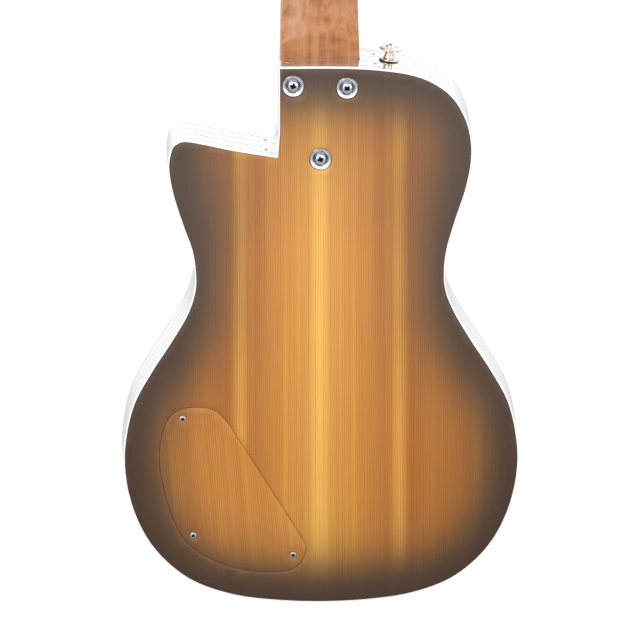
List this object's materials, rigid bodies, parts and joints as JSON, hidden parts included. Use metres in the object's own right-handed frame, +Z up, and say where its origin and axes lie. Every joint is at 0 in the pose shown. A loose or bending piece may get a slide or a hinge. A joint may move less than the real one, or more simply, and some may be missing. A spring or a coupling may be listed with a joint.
{
  "type": "resonator guitar",
  "caption": "Thin single-cutaway resonator guitar with a bolt-on neck, a sunburst back, a ribbed metal edge band, a spun cone under a slotted coverplate and worm-geared tuners.",
  "frame": {"origin": "centre of the neck just above the nut, where the yoke of a wall hanger holds the headstock", "axes": "+Z up the neck, front faces -Y, treble side and cutaway towards +X"},
  "size_m": [0.3082, 0.08, 0.9598],
  "materials": {
    "top_and_back_wood": "satin lacquer over a dark sunburst",
    "cover_wood": "satin lacquer",
    "frame_wood": "bare sanded wood",
    "roasted_maple": "satin",
    "ebony": "oiled",
    "bone": "polished bone or its synthetic equal",
    "binding_plastic": "polished",
    "polished_aluminium": "mirror polished",
    "chrome": "polished",
    "nickel": "polished nickel",
    "spun_aluminium": "spun",
    "black_plastic": "matte",
    "steel": "plated",
    "string_metal": "wound and plain wire"
  },
  "bodies": {
    "guitar": {"back_plate": "top_and_back_wood", "top_plate": "top_and_back_wood", "side_bass": "frame_wood", "side_treble": "frame_wood", "neck_block": "frame_wood", "tail_block": "frame_wood", "back_binding": "binding_plastic", "edge_band": "polished_aluminium", "front_binding": "binding_plastic", "control_cover": "cover_wood", "cover_ledge": "frame_wood", "soundwell": "frame_wood", "cone": "spun_aluminium", "biscuit": "roasted_maple", "saddle": "bone", "coverplate": "chrome", "hand_rest": "chrome", "tailpiece": "chrome", "neck": "roasted_maple", "truss_rod": "steel", "fretboard": "ebony", "nut": "bone", "neck_ferrule_1": "nickel", "neck_ferrule_2": "nickel", "neck_ferrule_3": "nickel", "neck_bolt_1": "steel", "neck_bolt_2": "steel", "neck_bolt_3": "steel", "pickup_ring": "black_plastic", "pickup_cover": "chrome", "pickup_coil": "black_plastic", "volume_pot": "steel", "tone_pot": "steel", "selector_switch": "steel", "output_jack": "steel", "strap_button_tail": "nickel", "strap_button_upper": "nickel", "tuner_plate_treble": "nickel", "tuner_plate_bass": "nickel", "string_1": "string_metal", "string_2": "string_metal", "string_3": "string_metal", "string_4": "string_metal", "string_5": "string_metal", "string_6": "string_metal"},
    "volume_knob": {"volume_knob": "nickel"},
    "tone_knob": {"tone_knob": "nickel"},
    "selector_lever": {"selector_lever": "bone"},
    "tuner_button_1": {"tuner_worm_1": "nickel"},
    "tuner_post_1": {"tuner_post_1": "nickel"},
    "tuner_button_2": {"tuner_worm_2": "nickel"},
    "tuner_post_2": {"tuner_post_2": "nickel"},
    "tuner_button_3": {"tuner_worm_3": "nickel"},
    "tuner_post_3": {"tuner_post_3": "nickel"},
    "tuner_button_4": {"tuner_worm_4": "nickel"},
    "tuner_post_4": {"tuner_post_4": "nickel"},
    "tuner_button_5": {"tuner_worm_5": "nickel"},
    "tuner_post_5": {"tuner_post_5": "nickel"},
    "tuner_button_6": {"tuner_worm_6": "nickel"},
    "tuner_post_6": {"tuner_post_6": "nickel"}
  },
  "joints": [
    {"name": "volume_turn", "type": "hinge", "parent": "guitar", "child": "volume_knob", "pos_m": [0.10678, -0.019, -0.75357], "axis": [0, -1, 0], "range_deg": [0, 300]},
    {"name": "tone_turn", "type": "hinge", "parent": "guitar", "child": "tone_knob", "pos_m": [0.08164, -0.019, -0.77504], "axis": [0, -1, 0], "range_deg": [0, 300]},
    {"name": "selector_throw", "type": "hinge", "parent": "guitar", "child": "selector_lever", "pos_m": [0.12644, -0.006, -0.727], "axis": [1, 0, 0], "range_deg": [-16, 16]},
    {"name": "tuner_1", "type": "hinge", "parent": "guitar", "child": "tuner_button_1", "pos_m": [0.03, 0.0157, 0.01458], "axis": [1, 0, 0], "continuous": true},
    {"name": "post_1", "type": "hinge", "parent": "guitar", "child": "tuner_post_1", "pos_m": [0.021, -0.00127, 0.02708], "axis": [0, 0.9781, -0.2079], "continuous": true},
    {"name": "tuner_2", "type": "hinge", "parent": "guitar", "child": "tuner_button_2", "pos_m": [0.03, 0.02361, 0.05175], "axis": [1, 0, 0], "continuous": true},
    {"name": "post_2", "type": "hinge", "parent": "guitar", "child": "tuner_post_2", "pos_m": [0.021, 0.00663, 0.06425], "axis": [0, 0.9781, -0.2079], "continuous": true},
    {"name": "tuner_3", "type": "hinge", "parent": "guitar", "child": "tuner_button_3", "pos_m": [0.03, 0.0315, 0.08892], "axis": [1, 0, 0], "continuous": true},
    {"name": "post_3", "type": "hinge", "parent": "guitar", "child": "tuner_post_3", "pos_m": [0.021, 0.01453, 0.10142], "axis": [0, 0.9781, -0.2079], "continuous": true},
    {"name": "tuner_4", "type": "hinge", "parent": "guitar", "child": "tuner_button_4", "pos_m": [-0.03, 0.0315, 0.08892], "axis": [1, 0, 0], "continuous": true},
    {"name": "post_4", "type": "hinge", "parent": "guitar", "child": "tuner_post_4", "pos_m": [-0.021, 0.01453, 0.10142], "axis": [0, 0.9781, -0.2079], "continuous": true},
    {"name": "tuner_5", "type": "hinge", "parent": "guitar", "child": "tuner_button_5", "pos_m": [-0.03, 0.02361, 0.05175], "axis": [1, 0, 0], "continuous": true},
    {"name": "post_5", "type": "hinge", "parent": "guitar", "child": "tuner_post_5", "pos_m": [-0.021, 0.00663, 0.06425], "axis": [0, 0.9781, -0.2079], "continuous": true},
    {"name": "tuner_6", "type": "hinge", "parent": "guitar", "child": "tuner_button_6", "pos_m": [-0.03, 0.0157, 0.01458], "axis": [1, 0, 0], "continuous": true},
    {"name": "post_6", "type": "hinge", "parent": "guitar", "child": "tuner_post_6", "pos_m": [-0.021, -0.00127, 0.02708], "axis": [0, 0.9781, -0.2079], "continuous": true}
  ],
  "couplings": [
    {"joint": "post_1", "follows": "tuner_1", "ratio": 0.066667},
    {"joint": "post_2", "follows": "tuner_2", "ratio": 0.066667},
    {"joint": "post_3", "follows": "tuner_3", "ratio": 0.066667},
    {"joint": "post_4", "follows": "tuner_4", "ratio": 0.066667},
    {"joint": "post_5", "follows": "tuner_5", "ratio": 0.066667},
    {"joint": "post_6", "follows": "tuner_6", "ratio": 0.066667}
  ]
}
